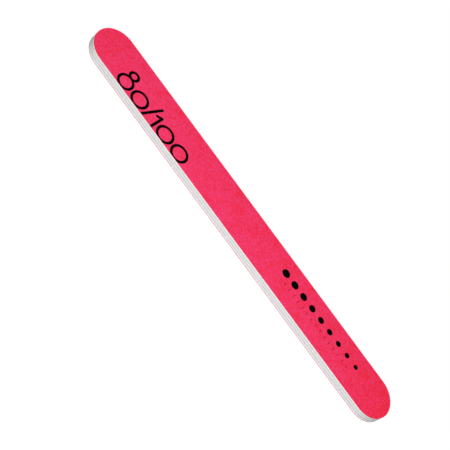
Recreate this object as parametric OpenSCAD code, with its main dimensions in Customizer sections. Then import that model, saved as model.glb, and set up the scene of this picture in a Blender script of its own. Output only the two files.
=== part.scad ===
// Straight two-grit nail file: a laminated board with full round ends, lying flat.
// X runs along the board, Y across it, and Z up through the layers from the table.
// Every layer is a die-cut sheet of the same outline, stuck to the next over its whole face.

/* [Outline] */
// Length over the two round ends
board_length = 180; // [90:1:240]
// Width, which is also the diameter of each round end
board_width = 19; // [12:0.5:40]

/* [Core] */
// Thickness of the stiff plastic board in the middle
core_thickness = 0.6; // [0.3:0.05:1.5]

/* [Foam] */
// Thickness of the grey supporting foam on each side of the core
support_foam_thickness = 0.65; // [0.3:0.05:2]
// Thickness of the white cushioning foam under each abrasive sheet
cushion_foam_thickness = 0.5; // [0.2:0.05:2]

/* [Abrasive sheets] */
// Thickness of the paper that carries each abrasive coat
paper_thickness = 0.16; // [0.1:0.02:0.5]
// Thickness of the coarse coat of grain on the upper face
coarse_coat_thickness = 0.26; // [0.1:0.02:0.6]
// Thickness of the finer coat of grain on the lower face
fine_coat_thickness = 0.22; // [0.1:0.02:0.6]

/* [Glue] */
// Thickness of the glue film between the core and each grey foam
core_glue_thickness = 0.05; // [0.02:0.01:0.2]
// Thickness of the glue film between each grey foam and the white foam
cushion_glue_thickness = 0.05; // [0.02:0.01:0.2]
// Thickness of the glue film between each white foam and the paper
sheet_glue_thickness = 0.05; // [0.02:0.01:0.2]

/* [Hidden] */

// Both ends are full half circles, so their radius is half of the width
end_radius = board_width / 2;
// Length of the two parallel edges between the round ends
straight_length = board_length - board_width;
// Facets on the round ends
$fn = 96;

// Heights of the undersides of the layers, each resting on the one below it
lower_paper_z = fine_coat_thickness;
lower_sheet_glue_z = lower_paper_z + paper_thickness;
lower_cushion_foam_z = lower_sheet_glue_z + sheet_glue_thickness;
lower_cushion_glue_z = lower_cushion_foam_z + cushion_foam_thickness;
lower_support_foam_z = lower_cushion_glue_z + cushion_glue_thickness;
lower_core_glue_z = lower_support_foam_z + support_foam_thickness;
core_z = lower_core_glue_z + core_glue_thickness;
upper_core_glue_z = core_z + core_thickness;
upper_support_foam_z = upper_core_glue_z + core_glue_thickness;
upper_cushion_glue_z = upper_support_foam_z + support_foam_thickness;
upper_cushion_foam_z = upper_cushion_glue_z + cushion_glue_thickness;
upper_sheet_glue_z = upper_cushion_foam_z + cushion_foam_thickness;
upper_paper_z = upper_sheet_glue_z + sheet_glue_thickness;
upper_coat_z = upper_paper_z + paper_thickness;

// Outline that the die cuts through the whole stack: a strip with two full round ends
module board_outline() {
    square([straight_length, board_width], center = true);
    for (side = [-1, 1])
        translate([side * straight_length / 2, 0])
            circle(r = end_radius);
}

// One sheet of the stack, with its underside at the given height
module sheet(underside, thickness) {
    translate([0, 0, underside])
        linear_extrude(height = thickness)
            board_outline();
}

// Stiff white plastic board that keeps the file straight
module core_board() {
    color("gainsboro") sheet(core_z, core_thickness);
}

// Grey foam on the core, firm enough to press the grain onto the nail
module lower_support_foam() {
    color("darkgray") sheet(lower_support_foam_z, support_foam_thickness);
}

module upper_support_foam() {
    color("darkgray") sheet(upper_support_foam_z, support_foam_thickness);
}

// White foam that lets the abrasive sheet follow the curve of the nail
module lower_cushion_foam() {
    color("whitesmoke") sheet(lower_cushion_foam_z, cushion_foam_thickness);
}

module upper_cushion_foam() {
    color("whitesmoke") sheet(upper_cushion_foam_z, cushion_foam_thickness);
}

// Paper that carries the grain
module lower_backing_paper() {
    color("ivory") sheet(lower_paper_z, paper_thickness);
}

module upper_backing_paper() {
    color("ivory") sheet(upper_paper_z, paper_thickness);
}

// Pink resin with its grain, finer below and coarser above
module lower_abrasive_coat() {
    color("deeppink") sheet(0, fine_coat_thickness);
}

module upper_abrasive_coat() {
    color("crimson") sheet(upper_coat_z, coarse_coat_thickness);
}

// Glue films, one in every joint of the stack
module lower_core_glue() {
    color("lightsteelblue") sheet(lower_core_glue_z, core_glue_thickness);
}

module upper_core_glue() {
    color("lightsteelblue") sheet(upper_core_glue_z, core_glue_thickness);
}

module lower_cushion_glue() {
    color("lightsteelblue") sheet(lower_cushion_glue_z, cushion_glue_thickness);
}

module upper_cushion_glue() {
    color("lightsteelblue") sheet(upper_cushion_glue_z, cushion_glue_thickness);
}

module lower_sheet_glue() {
    color("lightsteelblue") sheet(lower_sheet_glue_z, sheet_glue_thickness);
}

module upper_sheet_glue() {
    color("lightsteelblue") sheet(upper_sheet_glue_z, sheet_glue_thickness);
}

lower_abrasive_coat();
lower_backing_paper();
lower_sheet_glue();
lower_cushion_foam();
lower_cushion_glue();
lower_support_foam();
lower_core_glue();
core_board();
upper_core_glue();
upper_support_foam();
upper_cushion_glue();
upper_cushion_foam();
upper_sheet_glue();
upper_backing_paper();
upper_abrasive_coat();
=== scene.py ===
from math import cos, pi, radians, sin

import bpy
from mathutils import Matrix, Vector


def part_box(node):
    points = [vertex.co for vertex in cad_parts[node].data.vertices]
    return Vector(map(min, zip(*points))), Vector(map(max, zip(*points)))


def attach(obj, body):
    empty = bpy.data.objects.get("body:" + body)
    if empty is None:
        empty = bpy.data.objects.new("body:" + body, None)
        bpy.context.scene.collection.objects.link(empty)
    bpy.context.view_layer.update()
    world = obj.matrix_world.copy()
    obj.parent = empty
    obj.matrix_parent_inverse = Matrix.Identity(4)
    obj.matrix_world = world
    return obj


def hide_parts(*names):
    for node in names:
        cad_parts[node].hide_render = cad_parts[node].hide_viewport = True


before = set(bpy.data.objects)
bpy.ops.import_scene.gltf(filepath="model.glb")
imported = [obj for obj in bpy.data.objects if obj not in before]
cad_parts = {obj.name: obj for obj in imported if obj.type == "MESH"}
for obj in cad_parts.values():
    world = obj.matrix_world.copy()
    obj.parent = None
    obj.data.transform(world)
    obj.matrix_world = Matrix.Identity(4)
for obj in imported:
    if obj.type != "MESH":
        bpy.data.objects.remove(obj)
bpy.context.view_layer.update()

# Core board: a strip of stiff white polystyrene in the middle of the stack, which keeps the file
# straight. One die cuts it together with the other layers, so its edge is the outline of the whole
# board, smooth but for faint upright lines from the blade.
mm = 0.001
low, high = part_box("core_board")
board_length = high.x - low.x
board_width = high.y - low.y


class Value:
    """The output of a node. Sums, products and the calls below add the nodes that work them out."""

    def __init__(self, socket):
        self.socket = socket

    def also(self, name):
        """Another output of the same node."""
        return Value(self.socket.node.outputs[name])

    def math(self, operation, *terms):
        """Adds a Math node that works out the terms, in the tree that this value belongs to."""
        made = self.socket.id_data.nodes.new("ShaderNodeMath")
        made.operation = operation
        for slot, term in zip(made.inputs, terms):
            plug(slot, term)
        return Value(made.outputs[0])

    def __add__(self, other):
        return self.math("ADD", self, other)

    def __radd__(self, other):
        return self.math("ADD", other, self)

    def __sub__(self, other):
        return self.math("SUBTRACT", self, other)

    def __rsub__(self, other):
        return self.math("SUBTRACT", other, self)

    def __mul__(self, other):
        return self.math("MULTIPLY", self, other)

    def __rmul__(self, other):
        return self.math("MULTIPLY", other, self)

    def __truediv__(self, other):
        return self.math("DIVIDE", self, other)

    def __rtruediv__(self, other):
        return self.math("DIVIDE", other, self)

    def __pow__(self, other):
        return self.math("POWER", self, other)

    def __abs__(self):
        return self.math("ABSOLUTE", self)


def plug(slot, value):
    """Joins a node's input to a Value, or sets it to a plain number, colour or material."""
    if isinstance(value, Value):
        slot.id_data.links.new(value.socket, slot)
    else:
        slot.default_value = value


def smaller(first, second):
    return first.math("MINIMUM", first, second)


def larger(first, second):
    return first.math("MAXIMUM", first, second)


def rounded(value, way="ROUND"):
    return value.math(way, value)


def add(tree, kind, inputs=None, **settings):
    """Adds a node with its settings and inputs, and gives its first output."""
    made = tree.nodes.new(kind)
    for name, setting in settings.items():
        setattr(made, name, setting)
    for name, value in (inputs or {}).items():
        plug(made.inputs[name], value)
    return Value(made.outputs[0])


def new_tree(name, kind, takes, gives):
    """Makes a node tree with named inputs and outputs. Gives the tree, its inputs and its last node."""
    tree = bpy.data.node_groups.new(name, kind)
    for words, in_out in ((takes, "INPUT"), (gives, "OUTPUT")):
        for word, sort in words.items():
            tree.interface.new_socket(name=word, in_out=in_out, socket_type="NodeSocket" + sort)
    given = tree.nodes.new("NodeGroupInput")
    return tree, {word: Value(given.outputs[word]) for word in takes}, tree.nodes.new("NodeGroupOutput")


def point(tree, x, y, z):
    """A vector from its three parts."""
    return add(tree, "ShaderNodeCombineXYZ", {"X": x, "Y": y, "Z": z})


def parts(tree, vector):
    """The three parts of a vector."""
    x = add(tree, "ShaderNodeSeparateXYZ", {"Vector": vector})
    return x, x.also("Y"), x.also("Z")


def ramp(tree, value, start, end):
    """Rises smoothly from 0 to 1 while a value goes from start to end."""
    return add(tree, "ShaderNodeMapRange", {"Value": value, "From Min": start, "From Max": end},
               interpolation_type="SMOOTHSTEP")


def around_outline(distance, length, width):
    """The board's outline at a distance along it: the point's x and y, and the way that it faces."""
    radius = width / 2
    straight = length - width
    half_way = straight + pi * radius
    side = smaller(rounded(distance / half_way, "FLOOR"), 1)
    way = 1 - 2 * side
    gone = distance - side * half_way
    turn = larger(gone - straight, 0) / radius
    along = smaller(gone, straight) - straight / 2
    out_x = way * turn.math("SINE", turn)
    out_y = 0 - way * turn.math("COSINE", turn)
    return way * along + radius * out_x, radius * out_y, out_x, out_y


def lay_map(tree, shape, u, v, where=None):
    """Writes each face corner's place on the UV map named OFBake."""
    inputs = {"Geometry": shape, "Name": "OFBake", "Value": point(tree, u, v, 0)}
    if where is not None:
        inputs["Selection"] = where
    return add(tree, "GeometryNodeStoreNamedAttribute", inputs, data_type="FLOAT2", domain="CORNER")


def of_face(tree, value):
    """A value at the middle of the face that a corner belongs to."""
    return add(tree, "GeometryNodeFieldOnDomain", {"Value": value}, domain="FACE")


def close_up(tree, shells):
    """Joins shells that meet along their rims into one closed shape."""
    touching = 0.001 * mm
    joined = add(tree, "GeometryNodeJoinGeometry")
    for shell in shells:
        plug(joined.socket.node.inputs["Geometry"], shell)
    return add(tree, "GeometryNodeMergeByDistance", {"Geometry": joined, "Distance": touching})


def finish_tree(tree, last, shape, material):
    """Ends a geometry tree: its shape as one real mesh with the material set."""
    real = add(tree, "GeometryNodeRealizeInstances", {"Geometry": shape})
    painted = add(tree, "GeometryNodeSetMaterial", {"Geometry": real, "Material": material})
    plug(last.inputs["Geometry"], painted)


cell_wall = 0.35


def cut_sheet_tree():
    """One layer of the stack: a cut edge, drawn in and pitted, closed by two flat faces. Its map has
    the edge in rows, one above the other, and the hidden faces in a narrow strip on top."""
    tree, given, last = new_tree("Die-cut sheet", "GeometryNodeTree", {
        "Length": "Float", "Width": "Float", "Underside": "Float", "Thickness": "Float",
        "Edge step": "Float", "Edge rows": "Int", "Draw-in": "Float", "Cell size": "Float",
        "Pit depth": "Float", "Blade lines": "Float", "Line spacing": "Float", "Material": "Material",
    }, {"Geometry": "Geometry"})
    length, width, thickness = given["Length"], given["Width"], given["Thickness"]
    perimeter = 2 * (length - width) + pi * width
    rows_share, most_rows, row_gap = 0.94, 60, 0.1
    faces_start, faces_height = 0.96, 0.03
    map_rows = rounded((rows_share * perimeter / thickness) ** 0.5, "FLOOR")
    map_rows = smaller(map_rows, most_rows)
    steps = map_rows * rounded(perimeter / given["Edge step"] / map_rows)

    wall = add(tree, "GeometryNodeMeshGrid", {
        "Size X": perimeter, "Size Y": 1, "Vertices X": steps + 1, "Vertices Y": given["Edge rows"] + 1})
    across, up, _ = parts(tree, add(tree, "GeometryNodeInputPosition"))
    gone = (across / perimeter + 0.5) * map_rows
    row = rounded(of_face(tree, gone), "FLOOR")
    wall = lay_map(tree, wall, gone - row,
                   (row + 0.5 + up * (1 - row_gap)) * rows_share / map_rows)
    x, y, out_x, out_y = around_outline(across + perimeter / 2, length, width)
    height = given["Underside"] + (up + 0.5) * thickness
    cells = add(tree, "ShaderNodeTexVoronoi", {
        "Vector": point(tree, x, y, height), "Scale": 1 / given["Cell size"]},
        feature="DISTANCE_TO_EDGE")
    pits = ramp(tree, cells, 0, cell_wall) * given["Pit depth"]
    lines = add(tree, "ShaderNodeTexNoise", {
        "Vector": point(tree, x, y, 0), "Scale": 1 / given["Line spacing"], "Detail": 2})
    away_from_rims = 1 - 4 * up * up
    inward = away_from_rims * (given["Draw-in"] + pits + lines * given["Blade lines"])
    wall = add(tree, "GeometryNodeSetPosition", {
        "Geometry": wall,
        "Position": point(tree, x - out_x * inward, y - out_y * inward, height)})

    index = add(tree, "GeometryNodeInputIndex")
    x, y, _, _ = around_outline(index * perimeter / steps, length, width)
    face = add(tree, "GeometryNodeMeshCircle", {"Vertices": steps}, fill_type="NGON")
    turned = add(tree, "GeometryNodeFlipFaces", {"Mesh": face})
    shells = [wall]
    for flat, level in ((turned, given["Underside"]), (face, given["Underside"] + thickness)):
        flat = add(tree, "GeometryNodeSetPosition", {
            "Geometry": flat, "Position": point(tree, x, y, level)})
        place_x, place_y, _ = parts(tree, add(tree, "GeometryNodeInputPosition"))
        shells.append(lay_map(tree, flat, place_x / length + 0.5,
                              faces_start + faces_height * (place_y / width + 0.5)))
    finish_tree(tree, last, close_up(tree, shells), given["Material"])
    return tree


def grow(name, tree, sizes):
    """Runs a geometry tree with its named sizes, and gives what it makes as a plain mesh object."""
    piece = bpy.data.objects.new(name, bpy.data.meshes.new(name))
    bpy.context.scene.collection.objects.link(piece)
    maker = piece.modifiers.new(tree.name, "NODES")
    maker.node_group = tree
    for socket in tree.interface.items_tree:
        if socket.in_out == "INPUT":
            maker[socket.identifier] = sizes[socket.name]
    made = piece.evaluated_get(bpy.context.evaluated_depsgraph_get())
    piece.data = bpy.data.meshes.new_from_object(made)
    piece.data.name = name
    piece.modifiers.clear()
    piece.data.materials.clear()
    piece.data.materials.append(sizes["Material"])
    return piece


cut_sheet = cut_sheet_tree()


def lay_sheet(node, material, rows, step, draw_in, pit_depth=0.0, cell=0.2 * mm):
    """Makes the layer that stands for a CAD node, in that node's place."""
    blade_lines, line_spacing = 0.01 * mm, 0.5 * mm
    bottom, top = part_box(node)
    piece = grow(node + "_sheet", cut_sheet, {
        "Length": board_length, "Width": board_width,
        "Underside": bottom.z, "Thickness": top.z - bottom.z,
        "Edge step": step, "Edge rows": rows, "Draw-in": draw_in,
        "Cell size": cell, "Pit depth": pit_depth,
        "Blade lines": blade_lines, "Line spacing": line_spacing, "Material": material})
    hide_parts(node)
    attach(piece, "root")
    return piece


def finish_material(name, **settings):
    """A material with its Principled shader set by plain values, and its tree and shader."""
    material = bpy.data.materials.new(name)
    material.use_nodes = True
    tree = material.node_tree
    shader = tree.nodes["Principled BSDF"]
    for word, value in settings.items():
        shader.inputs[word.replace("_", " ")].default_value = value
    return material, tree, shader


def here(tree):
    """The point of the surface, in the piece's own metres."""
    return add(tree, "ShaderNodeTexCoord").also("Object")


def tint(tree, share, first, second):
    """A colour that goes from the first to the second as a share rises from 0 to 1."""
    mix = tree.nodes.new("ShaderNodeMix")
    mix.data_type = "RGBA"
    plug(mix.inputs["Factor"], share)
    for slot, colour in ((6, first), (7, second)):
        plug(mix.inputs[slot], colour if isinstance(colour, Value) else (*colour, 1))
    return Value(mix.outputs[2])


def bump(tree, height, depth):
    """The bumped surface direction for a height that goes from 0 to 1 over a depth in metres."""
    return add(tree, "ShaderNodeBump", {"Height": height, "Distance": depth, "Strength": 1})


def core_plastic():
    material, tree, shader = finish_material("white polystyrene", Roughness=0.42)
    x, y, _ = parts(tree, here(tree))
    lines = add(tree, "ShaderNodeTexNoise", {
        "Vector": point(tree, x, y, 0), "Scale": 1 / (0.25 * mm), "Detail": 3})
    plug(shader.inputs["Base Color"], tint(tree, lines, (0.7, 0.7, 0.71), (0.78, 0.78, 0.78)))
    plug(shader.inputs["Roughness"], 0.34 + 0.2 * lines)
    plug(shader.inputs["Normal"], bump(tree, lines, 0.01 * mm))
    return material


lay_sheet("core_board", core_plastic(), rows=4, step=0.2 * mm, draw_in=0.004 * mm)

# Glue films: clear transfer glue a twentieth of a millimetre thick in every joint of the stack. The
# blade pulls its cut edge in a little, so it shows as a fine, slightly glossy line.


def glue():
    material, tree, shader = finish_material("clear glue film", Roughness=0.3)
    cloud = add(tree, "ShaderNodeTexNoise", {"Vector": here(tree), "Scale": 1 / (1.2 * mm)})
    plug(shader.inputs["Base Color"], tint(tree, cloud, (0.6, 0.59, 0.55), (0.72, 0.71, 0.67)))
    plug(shader.inputs["Roughness"], 0.22 + 0.2 * cloud)
    return material


glue_film = glue()
for joint in ("core", "cushion", "sheet"):
    for half in ("lower", "upper"):
        lay_sheet(f"{half}_{joint}_glue", glue_film, rows=2, step=0.2 * mm,
                  draw_in=0.012 * mm)

# Support foams: grey closed-cell foam on each side of the core, firm enough to press the grain onto
# the nail. The blade squeezes it as it cuts, so its edge springs back slightly hollow, with the
# cells along the cut laid open.


def foam_group():
    """Cut cells, for both foams: how deep in a cell a point lies, and each cell's own shade."""
    tree, given, last = new_tree("Cut foam cells", "ShaderNodeTree", {"Cell size": "Float"}, {
        "Depth": "Float", "Shade": "Float"})
    spot = here(tree)
    edges = add(tree, "ShaderNodeTexVoronoi", {"Vector": spot, "Scale": 1 / given["Cell size"]},
                feature="DISTANCE_TO_EDGE")
    shades = add(tree, "ShaderNodeTexVoronoi", {"Vector": spot, "Scale": 1 / given["Cell size"]})
    plug(last.inputs["Depth"], ramp(tree, edges, 0, cell_wall))
    plug(last.inputs["Shade"], parts(tree, shades.also("Color"))[0])
    return tree


foam_cells = foam_group()


def foam(name, cell, wall_colour, shaded_hollow_colour, other_shaded_hollow_colour):
    material, tree, shader = finish_material(name, Roughness=0.85)
    depth = add(tree, "ShaderNodeGroup", {"Cell size": cell}, node_tree=foam_cells)
    # The hollows of the cut cells are painted darker than their walls, as painted shade in the pits.
    hollow = tint(tree, depth.also("Shade"), shaded_hollow_colour, other_shaded_hollow_colour)
    plug(shader.inputs["Base Color"], tint(tree, depth, wall_colour, hollow))
    plug(shader.inputs["Roughness"], 0.7 + 0.2 * depth)
    plug(shader.inputs["Normal"], bump(tree, 1 - depth, 0.02 * mm))
    return material


support_cell = 0.17 * mm
grey_foam = foam("grey foam", support_cell, (0.65, 0.65, 0.66), (0.55, 0.55, 0.56), (0.61, 0.61, 0.62))
for half in ("lower", "upper"):
    piece = lay_sheet(f"{half}_support_foam", grey_foam, rows=8, step=0.09 * mm,
                      draw_in=0.03 * mm, pit_depth=0.022 * mm, cell=support_cell)

# Cushion foams: softer white foam under each abrasive sheet, which lets the sheet follow the curve
# of the nail. Its cells are finer, and its cut edge is drawn in a little more.
cushion_cell = 0.12 * mm
white_foam = foam("white foam", cushion_cell, (0.82, 0.82, 0.82), (0.73, 0.73, 0.73), (0.78, 0.78, 0.78))
for half in ("lower", "upper"):
    piece = lay_sheet(f"{half}_cushion_foam", white_foam, rows=6, step=0.08 * mm,
                      draw_in=0.025 * mm, pit_depth=0.022 * mm, cell=cushion_cell)

# Backing papers: white latex paper that carries the grain. Its cut edge shows short fibres that lie
# along the sheet, and next to the grain the pink resin has soaked a little way in.


def paper(half, resin_side, inner_side, soak):
    """Paper whose fibres lie flat, pink to a share of soak on its resin side."""
    material, tree, shader = finish_material(f"{half} backing paper", Roughness=0.9)
    x, y, z = parts(tree, here(tree))
    flatness, uneven_soak = 6, 0.05 * mm
    fibres = add(tree, "ShaderNodeTexNoise", {
        "Vector": point(tree, x, y, z * flatness), "Scale": 1 / (0.3 * mm), "Detail": 4})
    white = tint(tree, fibres, (0.72, 0.72, 0.71), (0.84, 0.84, 0.83))
    soaked = soak * ramp(tree, z + uneven_soak * (fibres - 0.5), inner_side, resin_side)
    plug(shader.inputs["Base Color"], tint(tree, soaked, white, (0.75, 0.28, 0.35)))
    plug(shader.inputs["Roughness"], 0.95 - 0.15 * fibres)
    plug(shader.inputs["Normal"], bump(tree, fibres, 0.012 * mm))
    return material


deep_soak, slight_soak = 0.13 * mm, 0.09 * mm
lower_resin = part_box("lower_backing_paper")[0].z
upper_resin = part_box("upper_backing_paper")[1].z
for half, resin, inner, soak in (("lower", lower_resin, lower_resin + deep_soak, 0.9),
                                 ("upper", upper_resin, upper_resin - slight_soak, 0.05)):
    lay_sheet(f"{half}_backing_paper", paper(half, resin, inner, soak), rows=3,
              step=0.2 * mm, draw_in=0.006 * mm)

# Fine coat: the abrasive on the lower face, aluminium oxide grain that stands about 0.2 mm apart,
# bonded to the paper in pink resin. The die rolls the rim over a little where it cuts through the
# grain. Its cut edge is painted a darker red than the face, as painted shade along the low edge.


def coat_tree():
    """A coat of grain: a surface of crests and hollows over the board's outline, with a flat back. Its
    map has the grain in three strips, the cut edge in six thin rows and the hidden back above them."""
    tree, given, last = new_tree("Coat of grain", "GeometryNodeTree", {
        "Length": "Float", "Width": "Float", "Thickness": "Float", "Grain": "Float", "Scatter": "Float",
        "Relief": "Float", "Rim width": "Float", "Rim drop": "Float", "Seed": "Int",
        "Flat side height": "Float", "Turn": "Float", "Material": "Material",
    }, {"Geometry": "Geometry"})
    length, width, grain = given["Length"], given["Width"], given["Grain"]
    radius = width / 2
    straight_end = (length - width) / 2
    strips, strip_gap, strips_share = 3, 0.012, 0.9
    edge_start, edge_pitch, edge_height = 0.91, 0.01, 0.007
    back_start, back_height = 0.975, 0.02
    grid = add(tree, "GeometryNodeMeshGrid", {
        "Size X": length, "Size Y": width,
        "Vertices X": 1 + rounded(length / grain), "Vertices Y": 1 + rounded(width / grain)})

    x, y, _ = parts(tree, add(tree, "GeometryNodeInputPosition"))
    shift = add(tree, "FunctionNodeRandomValue", {
        "Min": (-1, -1, 0), "Max": (1, 1, 1), "Seed": given["Seed"]}, data_type="FLOAT_VECTOR")
    shift_x, shift_y, depth = parts(tree, shift)
    reach = grain * given["Scatter"]
    x = x + shift_x * reach * x.math("LESS_THAN", abs(x), length / 2 - grain / 2)
    y = y + shift_y * reach * y.math("LESS_THAN", abs(y), width / 2 - grain / 2)

    beyond = larger(abs(x) - straight_end, 0) / radius
    aside = y / radius
    bent_x = smaller(abs(x), straight_end) + radius * beyond * (1 - aside * aside / 2) ** 0.5
    bent_x = bent_x * x.math("SIGN", x)
    bent_y = y * (1 - beyond * beyond / 2) ** 0.5
    past = larger(abs(bent_x) - straight_end, 0)
    from_rim = radius - (past * past + bent_y * bent_y) ** 0.5
    rim = 1 - ramp(tree, from_rim, 0, given["Rim width"])
    height = given["Thickness"] - given["Relief"] * depth ** 1.5 * (1 - rim) - given["Rim drop"] * rim
    rough = add(tree, "GeometryNodeSetPosition", {
        "Geometry": grid, "Position": point(tree, bent_x, bent_y, height)})
    rough = add(tree, "GeometryNodeTriangulate", {"Mesh": rough}, quad_method="SHORTEST_DIAGONAL")

    x, y, z = parts(tree, add(tree, "GeometryNodeInputPosition"))
    gone = (x / length + 0.5) * strips
    strip = rounded(of_face(tree, gone), "FLOOR")
    rough = lay_map(tree, rough, strip_gap + (gone - strip) * (1 - 2 * strip_gap),
                    (strip + 0.5 + y / width * (1 - strip_gap)) * strips_share / strips)

    only = add(tree, "GeometryNodeInputMeshEdgeNeighbors")
    skirt = add(tree, "GeometryNodeExtrudeMesh", {
        "Mesh": rough, "Selection": only.math("COMPARE", only, 1, 0.1),
        "Offset": point(tree, 0, 0, -1), "Offset Scale": given["Thickness"]}, mode="EDGES")
    foot, side = skirt.also("Top"), skirt.also("Side")
    skirt = add(tree, "GeometryNodeSetPosition", {
        "Geometry": skirt, "Selection": foot, "Position": point(tree, x, y, 0)})
    straight_x = smaller(larger(x, 0 - straight_end), straight_end)
    edge_gone = straight_x + radius * x.math("ARCTAN2", x - straight_x, abs(y))
    edge_gone = (edge_gone / (length - width + pi * radius) + 0.5) * strips
    edge_row = rounded(of_face(tree, edge_gone), "FLOOR")
    edge_side = of_face(tree, y).math("GREATER_THAN", of_face(tree, y), 0)
    skirt = lay_map(tree, skirt, strip_gap + (edge_gone - edge_row) * (1 - 2 * strip_gap),
                    edge_start + (edge_row + strips * edge_side) * edge_pitch
                    + edge_height * z / given["Thickness"], where=side)
    back = add(tree, "GeometryNodeFillCurve", {
        "Curve": add(tree, "GeometryNodeMeshToCurve", {"Mesh": skirt, "Selection": foot})})
    back = add(tree, "GeometryNodeFlipFaces", {"Mesh": back})
    back = lay_map(tree, back, x / length + 0.5, back_start + back_height * (y / width + 0.5))

    turned = add(tree, "GeometryNodeTransform", {
        "Geometry": close_up(tree, (skirt, back)),
        "Translation": point(tree, 0, 0, given["Flat side height"]),
        "Rotation": point(tree, given["Turn"], 0, 0)})
    finish_tree(tree, last, turned, given["Material"])
    return tree


coat_of_grain = coat_tree()


def coat_group():
    """Pink grain, for both coats: its colour, its roughness and the fine height of the resin on it.
    The resin is patchy between red and magenta, and drifts to red across the board. At its ends it
    turns redder, which is painted shade, and a few crests carry pale dots of painted glint."""
    tree, given, last = new_tree("Pink grain", "ShaderNodeTree", {
        "Grain": "Float", "Crest height": "Float", "Hollow height": "Float"}, {
        "Color": "Color", "Roughness": "Float", "Height": "Float"})
    spot = here(tree)
    x, y, z = parts(tree, spot)
    crest = ramp(tree, z, given["Hollow height"], given["Crest height"])
    patches = add(tree, "ShaderNodeTexNoise", {
        "Vector": spot, "Scale": 1 / (0.9 * mm), "Detail": 2, "Roughness": 0.6})
    clouds = add(tree, "ShaderNodeTexNoise", {"Vector": spot, "Scale": 1 / (5 * mm), "Detail": 1})
    grains = add(tree, "ShaderNodeTexVoronoi", {"Vector": spot, "Scale": 1 / given["Grain"]})
    own, shine, _ = parts(tree, grains.also("Color"))
    # Towards the ends the colour turns redder: painted shade at the ends of the face.
    usual, less_along, less_across, shade_at_ends, shaded_ends_from = 0.43, 1.1, 6.0, 10.0, 70 * mm
    magenta = usual - less_along * x - less_across * y - shade_at_ends * larger(abs(x) - shaded_ends_from, 0)
    for mask, weight in ((patches, 1.8), (clouds, 0.5), (own, 0.6), (crest, 0.2)):
        magenta = magenta + weight * (mask - 0.5)
    magenta = smaller(larger(magenta, 0), 1)
    colour = tint(tree, magenta, (0.893, 0.0215, 0.05), (0.903, 0.059, 0.205))
    # Painted glints: a few grains on the crests are painted paler, as painted highlights.
    painted_glint_from, painted_glint_strength = 0.94, 0.15
    painted_glint = ramp(tree, own, painted_glint_from, 1.0) * crest
    plug(last.inputs["Color"], tint(tree, painted_glint_strength * painted_glint, colour, (0.95, 0.3, 0.5)))
    plug(last.inputs["Roughness"], 0.78 - 0.25 * shine * crest)
    fine = add(tree, "ShaderNodeTexNoise", {"Vector": spot, "Scale": 1 / (0.06 * mm), "Detail": 2})
    plug(last.inputs["Height"], fine)
    return tree


pink_grain = coat_group()


def coat_material(name, grain, crest, hollow):
    """A coat's material, with its tree, its shader and what the pink grain gives for it."""
    material, tree, shader = finish_material(name, Specular_IOR_Level=0.005)
    pink = add(tree, "ShaderNodeGroup", {
        "Grain": grain, "Crest height": crest, "Hollow height": hollow}, node_tree=pink_grain)
    plug(shader.inputs["Roughness"], pink.also("Roughness"))
    plug(shader.inputs["Normal"], bump(tree, pink.also("Height"), 0.012 * mm))
    return material, tree, shader, pink


def lay_coat(node, material, grain, relief, seed, turn):
    """Makes the coat that stands for a CAD node, in that node's place."""
    scatter, rim_width, rim_drop = 0.36, 0.3 * mm, 0.015 * mm
    bottom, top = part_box(node)
    piece = grow(node + "_grain", coat_of_grain, {
        "Length": board_length, "Width": board_width, "Thickness": top.z - bottom.z, "Grain": grain,
        "Scatter": scatter, "Relief": relief, "Rim width": rim_width, "Rim drop": rim_drop, "Seed": seed,
        "Flat side height": top.z if turn else bottom.z, "Turn": turn, "Material": material})
    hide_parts(node)
    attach(piece, "root")
    return piece


fine_grain = 0.2 * mm
fine_relief = 0.04 * mm
fine_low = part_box("lower_abrasive_coat")[0].z
fine_coat, tree, shader, pink = coat_material("fine pink grain", fine_grain, fine_low,
                                              fine_low + fine_relief)
_, _, z = parts(tree, here(tree))
# Painted shade: the cut edge above the grain is painted a darker red.
painted_shade_on_cut = 0.7
cut = ramp(tree, z, fine_low + fine_relief, fine_low + 2 * fine_relief)
plug(shader.inputs["Base Color"], tint(tree, painted_shade_on_cut * cut, pink, (0.6, 0.05, 0.12)))
lay_coat("lower_abrasive_coat", fine_coat, fine_grain, fine_relief, seed=11, turn=pi)

# Coarse coat: the abrasive on the upper face, the same pink resin over bigger grain, with white paper
# fibres that the blade pulls up the foot of its cut. The two grit numbers are printed over the grain
# in black ink, and at the other end a row of dots from coarse to fine over a thin scale.


def ring(x, y, middle, radius, stroke):
    """How far a point is outside a round stroke of the print."""
    from_x, from_y = x - middle[0] * mm, y - middle[1] * mm
    return abs((from_x * from_x + from_y * from_y) ** 0.5 - radius * mm) - stroke * mm / 2


def bar(x, y, start, end, stroke):
    """How far a point is outside a straight stroke with round ends."""
    start, end = Vector(start) * mm, Vector(end) * mm
    along = (end - start).normalized()
    middle = (start + end) / 2
    from_x, from_y = x - middle.x, y - middle.y
    lengthwise = larger(abs(from_x * along.x + from_y * along.y) - (end - start).length / 2, 0)
    crosswise = from_y * along.x - from_x * along.y
    return (lengthwise * lengthwise + crosswise * crosswise) ** 0.5 - stroke * mm / 2


def row_of(x, first, pitch, count):
    """For a row of like marks: which one is nearest, and how far a point is from it along the row."""
    which = rounded((x - first * mm) / (pitch * mm))
    which = smaller(larger(which, 0), count - 1)
    return which, x - first * mm - which * (pitch * mm)


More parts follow.
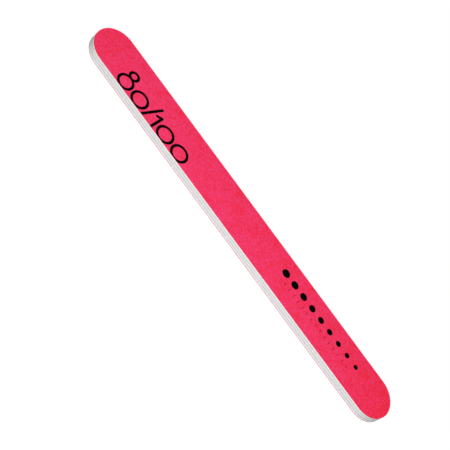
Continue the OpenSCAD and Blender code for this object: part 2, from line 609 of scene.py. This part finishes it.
def grit_numbers(x, y):
    """The numbers of the two coats, 80 over 100, in plain round and straight strokes. They run off the
    near edge, where the die cut through the print."""
    stroke, zero_radius = 1.2, 3.55
    eight = (((-68.2, -6.05), 3.25), ((-68.2, -0.8), 1.9))
    zeros = tuple((middle, zero_radius) for middle in ((-59.75, -5.8), (-43.7, -5.95), (-34.9, -6.0)))
    slash = ((-55.3, -10.0), (-51.9, 0.55))
    one = (((-49.2, -10.0), (-49.2, -2.2)), ((-51.15, -3.5), (-49.2, -2.2)))
    marks = [ring(x, y, middle, radius, stroke) for middle, radius in eight + zeros]
    marks += [bar(x, y, start, end, stroke) for start, end in (slash, *one)]
    nearest = marks[0]
    for mark in marks[1:]:
        nearest = smaller(nearest, mark)
    return nearest


def grain_dots(x, y):
    """A row of dots that get smaller from the coarse end to the fine end."""
    count, largest, step, line = 9, 1.85, 0.1, 2.0
    which, from_x = row_of(x, first=25.0, pitch=5.5, count=count)
    from_y = y - line * mm
    return (from_x * from_x + from_y * from_y) ** 0.5 - (largest * mm - step * mm * which)


def thin_scale(x, y):
    """A row of hair lines under the dots."""
    half_width, half_length, line = 0.16, 0.75, -1.9
    _, from_x = row_of(x, first=27.75, pitch=2.75, count=15)
    return larger(abs(from_x) - half_width * mm, abs(y - line * mm) - half_length * mm)


def printed(tree, distance, blur):
    """How much ink lies at a distance outside the edge of a mark."""
    return 1 - ramp(tree, distance, 0 - blur, blur)


coarse_grain = 0.21 * mm
coarse_relief = 0.05 * mm
coarse_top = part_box("upper_abrasive_coat")[1].z
coarse_coat, tree, shader, pink = coat_material("coarse pink grain", coarse_grain, coarse_top,
                                                coarse_top - coarse_relief)
x, y, z = parts(tree, here(tree))
ragged = add(tree, "ShaderNodeTexNoise", {"Vector": here(tree), "Scale": 1 / (0.15 * mm), "Detail": 1})
creep = 0.06 * mm * (ragged - 0.5)
ink_depth, thin_strength, ink_gloss = 0.08 * mm, 0.6, 0.15
on_top = ramp(tree, z, coarse_top - ink_depth, coarse_top - coarse_relief)
solid_ink = on_top * printed(tree, smaller(grit_numbers(x, y), grain_dots(x, y)) + creep, 0.03 * mm)
thin_ink = on_top * printed(tree, thin_scale(x, y) + creep, 0.05 * mm)
ink = larger(solid_ink, thin_strength * thin_ink)
inked = tint(tree, ink, pink, (0.0006, 0.0006, 0.0008))
coarse_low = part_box("upper_abrasive_coat")[0].z
fibre_reach, fibre_spread = 0.05 * mm, 0.02 * mm
pulled_up = 1 - ramp(tree, z + fibre_spread * (ragged - 0.5), coarse_low, coarse_low + fibre_reach)
plug(shader.inputs["Base Color"], tint(tree, pulled_up, inked, (0.78, 0.78, 0.77)))
plug(shader.inputs["Roughness"], pink.also("Roughness") - ink_gloss * solid_ink)
lay_coat("upper_abrasive_coat", coarse_coat, coarse_grain, coarse_relief, seed=7, turn=0.0)

# Table and light: a plain white table under the board, with a strong soft box above the near edge
# and a weaker one behind. The table and the air round it show white to the camera and to reflections,
# and the table keeps the board's faint shadow.


def seen_by_eye(tree):
    """1 for what the camera sees straight, in a reflection or through glass."""
    ray = add(tree, "ShaderNodeLightPath")
    return larger(larger(ray, ray.also("Is Glossy Ray")), ray.also("Is Transmission Ray"))


table_half = 2.0
white_glow, shadow_share = 1.015, 0.06
mesh = bpy.data.meshes.new("table")
mesh.from_pydata([(-table_half, -table_half, 0), (table_half, -table_half, 0),
                  (table_half, table_half, 0), (-table_half, table_half, 0)], [], [(0, 1, 2, 3)])
table = bpy.data.objects.new("table", mesh)
bpy.context.scene.collection.objects.link(table)
material, tree, shader = finish_material("white table", Roughness=0.9)
seen = seen_by_eye(tree)
x, y, _ = parts(tree, here(tree))
shadow_end, far_end = 0.1, 0.3
far_off = ramp(tree, (x * x + y * y) ** 0.5, shadow_end, far_end)
plug(shader.inputs["Base Color"], tint(tree, seen, (0.3, 0.3, 0.3), (1.0, 1.0, 1.0)))
glow = add(tree, "ShaderNodeEmission", {"Color": (1, 1, 1, 1), "Strength": white_glow})
mixed = tree.nodes.new("ShaderNodeMixShader")
plug(mixed.inputs["Fac"], (1 - shadow_share + shadow_share * far_off) * seen)
plug(mixed.inputs[1], Value(shader.outputs[0]))
plug(mixed.inputs[2], glow)
plug(tree.nodes["Material Output"].inputs["Surface"], Value(mixed.outputs[0]))
mesh.materials.append(material)

sky_light = 0.12
world = bpy.data.worlds.new("white room")
bpy.context.scene.world = world
world.use_nodes = True
background = world.node_tree.nodes["Background"]
background.inputs["Color"].default_value = (1, 1, 1, 1)
plug(background.inputs["Strength"], sky_light + (1 - sky_light) * seen_by_eye(world.node_tree))


def soft_box(name, size, power, place):
    """A square lamp that faces the middle of the board."""
    lamp = bpy.data.lights.new(name, "AREA")
    lamp.size = size
    lamp.energy = power
    box = bpy.data.objects.new(name, lamp)
    bpy.context.scene.collection.objects.link(box)
    box.location = place
    box.rotation_euler = (-box.location).to_track_quat("-Z", "Y").to_euler()
    box.visible_camera = False


soft_box("key soft box", size=0.24, power=2.41, place=(0.005, -0.336, 0.313))
soft_box("back soft box", size=0.25, power=0.66, place=(0.0, 0.43, 0.257))

# Camera: half a metre away, as from an eye over a table, and rolled so that the board runs from the
# upper left to the lower right.
camera_place = Vector((-7.75, -351.91, 342.9)) * mm
camera_aim = Vector((-3.45, -4.91, 0.0)) * mm
camera_roll = radians(54.0)
lens = bpy.data.cameras.new("camera")
lens.sensor_width = 36.0
lens.lens = 104.14
lens.clip_start = 0.01
camera = bpy.data.objects.new("camera", lens)
bpy.context.scene.collection.objects.link(camera)
ahead = (camera_aim - camera_place).normalized()
level = ahead.cross(Vector((0, 0, 1))).normalized()
right = level * cos(camera_roll) + level.cross(ahead) * sin(camera_roll)
turn = Matrix((right, right.cross(ahead), -ahead)).transposed()
camera.matrix_world = Matrix.Translation(camera_place) @ turn.to_4x4()
bpy.context.scene.camera = camera
bpy.context.scene.view_settings.view_transform = "Standard"
